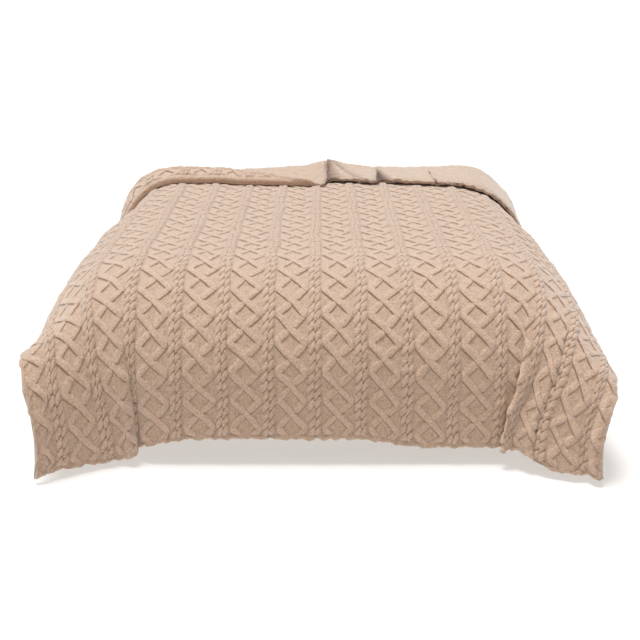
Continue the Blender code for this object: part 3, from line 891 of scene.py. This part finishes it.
class BlanketLook(bpy.types.PropertyGroup):
    thick: FloatProperty(name="Thickness", description="Of the sheet between the raised cables",
                         default=0.006, min=0.002, max=0.012, unit="LENGTH")
    cable_high: FloatProperty(name="Cable height", description="Of the rope cables above the sheet",
                              default=0.0095, min=0, max=0.015, unit="LENGTH")
    lattice_high: FloatProperty(name="Lattice height", description="Of the crossing strands",
                                default=0.0052, min=0, max=0.015, unit="LENGTH")
    hem_high: FloatProperty(name="Hem height", description="Of the turned band along the edges",
                            default=0.0045, min=0, max=0.01, unit="LENGTH")
    detail: FloatProperty(name="Relief detail", description="Depth of the finest relief, in the shading",
                          default=0.004, min=0, max=0.015, unit="LENGTH")
    fluff: FloatProperty(name="Fluff", description="Lumps of the plush surface",
                         default=0.0009, min=0, max=0.003, unit="LENGTH")
    uneven: FloatProperty(name="Uneven relief", description="How much the pattern's height varies",
                          default=0.12, min=0, max=0.5)
    sway: FloatProperty(name="Sway", description="How far the pattern strays from its lines",
                        default=0.0022, min=0, max=0.01, unit="LENGTH")
    edge_wander: FloatProperty(name="Edge wander", description="How far the hems stray in and out",
                               default=0.0028, min=0, max=0.01, unit="LENGTH")
    tufts: FloatProperty(name="Tuft contrast", description="Between the light and the dark of the pile",
                         default=2.2, min=0, max=4)
    sheen: FloatProperty(name="Sheen", description="Soft light on the pile seen from the side",
                         default=0.55, min=0, max=1)
    # Painted sheen: these two settings pale the pile's colour where it is seen at a glance, as sheen
    # would.
    painted_sheen_share: FloatProperty(name="Painted sheen share", description="How much painted sheen pales the pile where it is seen at a glance",
                        default=0.48, min=0, max=1)
    painted_sheen_colour: FloatVectorProperty(name="Painted sheen colour", description="Colour of the painted sheen on the pile",
                              subtype="COLOR", default=(0.80, 0.66, 0.54), min=0, max=1)
    colour: FloatVectorProperty(name="Pile colour", description="Of the raised pattern",
                                subtype="COLOR", default=(0.66, 0.45, 0.325), min=0, max=1)
    # Painted shade: the ground between the raised cables and strands gets this darker colour.
    hollow_shade: FloatVectorProperty(name="Hollow shade colour", description="Painted shade on the ground between what is raised",
                                subtype="COLOR", default=(0.60, 0.41, 0.29), min=0, max=1)
    # Painted shade: the darkest colour, put below raised edges and between the lobes of the cables.
    crease_shade: FloatVectorProperty(name="Crease colour", description="Painted shade deep beside what is raised",
                                subtype="COLOR", default=(0.33, 0.17, 0.09), min=0, max=1)
    # Painted shade: a dark brown put where the turned back end is tucked in.
    shade: FloatVectorProperty(name="Tuck shade colour", description="Painted shade deep in the tucks of the turned back end",
                               subtype="COLOR", default=(0.11, 0.05, 0.025), min=0, max=1)
    reverse: FloatVectorProperty(name="Reverse colour", description="Of the smooth reverse side",
                                 subtype="COLOR", default=(0.62, 0.455, 0.345), min=0, max=1)


class BedLook(bpy.types.PropertyGroup):
    ticking: FloatVectorProperty(name="Ticking colour", description="Of the mattress cover",
                                 subtype="COLOR", default=(0.80, 0.79, 0.76), min=0, max=1)
    base: FloatVectorProperty(name="Base colour", description="Of the cloth on the bed base",
                              subtype="COLOR", default=(0.80, 0.79, 0.76), min=0, max=1)
    quilt: FloatProperty(name="Quilting", description="Between the sewn channels, metres",
                         default=0.30, min=0.08, max=1)
    quilt_deep: FloatProperty(name="Quilting depth", description="Of the sewn channels, metres",
                              default=0.010, min=0, max=0.03)
    piping: FloatProperty(name="Piping", description="Radius of the sewn cord around the mattress, metres",
                          default=0.005, min=0.002, max=0.01)
    piping_up: FloatProperty(name="Piping height", description="Above the bottom of the mattress, metres",
                             default=0.035, min=0.01, max=0.1)


class StageLook(bpy.types.PropertyGroup):
    floor: FloatVectorProperty(name="Floor colour", description="Of the plain floor",
                               subtype="COLOR", default=(0.46, 0.46, 0.46), min=0, max=1)
    glow: FloatProperty(name="Floor glow", description="Light that the floor gives: shadows stay pale",
                        default=0.50, min=0, max=3)
    key: FloatProperty(name="Key light", description="Strength of the high soft light",
                       default=3.0, min=0, max=10)
    sky: FloatProperty(name="Sky light", description="Strength of the light from all round",
                       default=0.42, min=0, max=3)


# ---------------------------------------------------------------- operators

def shared(name, make):
    """The node group of that name, made once."""
    return bpy.data.node_groups.get(name) or make()


class BLANKET_OT_sheet(bpy.types.Operator):
    """The blanket: one plush sheet with its raised cables, lattice and hems"""
    bl_idname = "blanket.sheet"
    bl_label = "Blanket"

    def execute(self, context):
        look = context.scene.blanket_look
        piece = build_blanket(look)
        pile = shared("plush pile", pile_group)
        relief = shared("cable relief", relief_group)
        piece.data.materials.append(plush_face(pile, relief, look))
        piece.data.materials.append(plush_reverse(pile, look))
        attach(piece, "root")
        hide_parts("blanket")
        return {"FINISHED"}


class BLANKET_OT_mattress(bpy.types.Operator):
    """The soft mattress under the blanket"""
    bl_idname = "blanket.mattress"
    bl_label = "Mattress"

    def execute(self, context):
        look = context.scene.bed_look
        bm = remeshed("mattress", MATTRESS_STEP)
        outline = bm.copy()
        quilt(bm, look)
        add_piping(bm, outline, MATTRESS_LOW.z + look.piping_up, look.piping)
        outline.free()
        bmesh.ops.recalc_face_normals(bm, faces=bm.faces)
        piece = finish_mesh("mattress_pad", bm)
        pile, weave = shared("plush pile", pile_group), shared("plain weave", weave_group)
        piece.data.materials.append(woven("ticking", weave, pile, look.ticking, 300))
        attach(piece, "root")
        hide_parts("mattress")
        return {"FINISHED"}


class BLANKET_OT_base(bpy.types.Operator):
    """Woven cover for the plain bed base"""
    bl_idname = "blanket.base"
    bl_label = "Bed base"

    def execute(self, context):
        look = context.scene.bed_look
        pile, weave = shared("plush pile", pile_group), shared("plain weave", weave_group)
        cover = woven("base_cover", weave, pile, look.base, 200)
        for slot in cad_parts["bed_base"].material_slots:
            slot.material = cover
        return {"FINISHED"}


def add_sun(name, strength, towards, spread_angle):
    light = bpy.data.lights.new(name, "SUN")
    light.energy = strength
    light.angle = math.radians(spread_angle)
    sun = bpy.data.objects.new(name, light)
    sun.rotation_euler = Vector(towards).to_track_quat("-Z", "Y").to_euler()
    bpy.context.scene.collection.objects.link(sun)


class BLANKET_OT_stage(bpy.types.Operator):
    """Floor, lights and camera"""
    bl_idname = "blanket.stage"
    bl_label = "Stage"

    def execute(self, context):
        look = context.scene.stage_look
        bm = bmesh.new()
        bmesh.ops.create_grid(bm, x_segments=4, y_segments=4, size=FLOOR_HALF)
        floor = finish_mesh("floor", bm)
        paint = bpy.data.materials.new("floor_paint")
        paint.use_nodes = True
        shader = paint.node_tree.nodes["Principled BSDF"]
        shader.inputs["Base Color"].default_value = (*look.floor, 1)
        shader.inputs["Roughness"].default_value = 0.9
        shader.inputs["Emission Color"].default_value = (1, 0.95, 0.90, 1)
        shader.inputs["Emission Strength"].default_value = look.glow
        floor.data.materials.append(paint)
        world = bpy.data.worlds.new("soft_sky")
        world.use_nodes = True
        world.node_tree.nodes["Background"].inputs["Color"].default_value = (1, 1, 1, 1)
        world.node_tree.nodes["Background"].inputs["Strength"].default_value = look.sky
        context.scene.world = world
        add_sun("key", look.key, KEY_TOWARDS, KEY_SPREAD)
        lens = bpy.data.cameras.new("camera")
        lens.lens = LENS
        lens.sensor_width = 36
        lens.clip_end = 300
        camera = bpy.data.objects.new("camera", lens)
        camera.location = Vector(ORIGIN) + Vector((CAMERA_ASIDE, -CAMERA_BACK, TOP * PITCH + CAMERA_UP))
        camera.rotation_euler = (math.radians(90 - CAMERA_DIP), 0, 0)
        context.scene.collection.objects.link(camera)
        context.scene.camera = camera
        context.scene.view_settings.view_transform = "Standard"
        return {"FINISHED"}


class BLANKET_PT_panel(bpy.types.Panel):
    """Sizes, colours and steps"""
    bl_idname = "BLANKET_PT_panel"
    bl_label = "Draped cable blanket"
    bl_space_type = "VIEW_3D"
    bl_region_type = "UI"
    bl_category = "Blanket"

    def draw(self, context):
        for group in ("blanket_look", "bed_look", "stage_look"):
            settings = getattr(context.scene, group)
            for name in settings.bl_rna.properties.keys():
                if name not in ("rna_type", "name"):
                    self.layout.prop(settings, name)
        for step in STEPS:
            self.layout.operator(step.bl_idname)


STEPS = (BLANKET_OT_stage, BLANKET_OT_mattress, BLANKET_OT_base, BLANKET_OT_sheet)
GROUPS = (("blanket_look", BlanketLook), ("bed_look", BedLook), ("stage_look", StageLook))


def register():
    for name, group in GROUPS:
        bpy.utils.register_class(group)
        setattr(bpy.types.Scene, name, PointerProperty(type=group))
    for item in (*STEPS, BLANKET_PT_panel):
        bpy.utils.register_class(item)


def unregister():
    for item in (BLANKET_PT_panel, *reversed(STEPS)):
        bpy.utils.unregister_class(item)
    for name, group in reversed(GROUPS):
        delattr(bpy.types.Scene, name)
        bpy.utils.unregister_class(group)


def write_sizes():
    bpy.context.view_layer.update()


def main():
    register()
    bpy.ops.blanket.stage()
    bpy.ops.blanket.mattress()
    bpy.ops.blanket.base()
    bpy.ops.blanket.sheet()
    write_sizes()


if __name__ == "__main__":
    main()
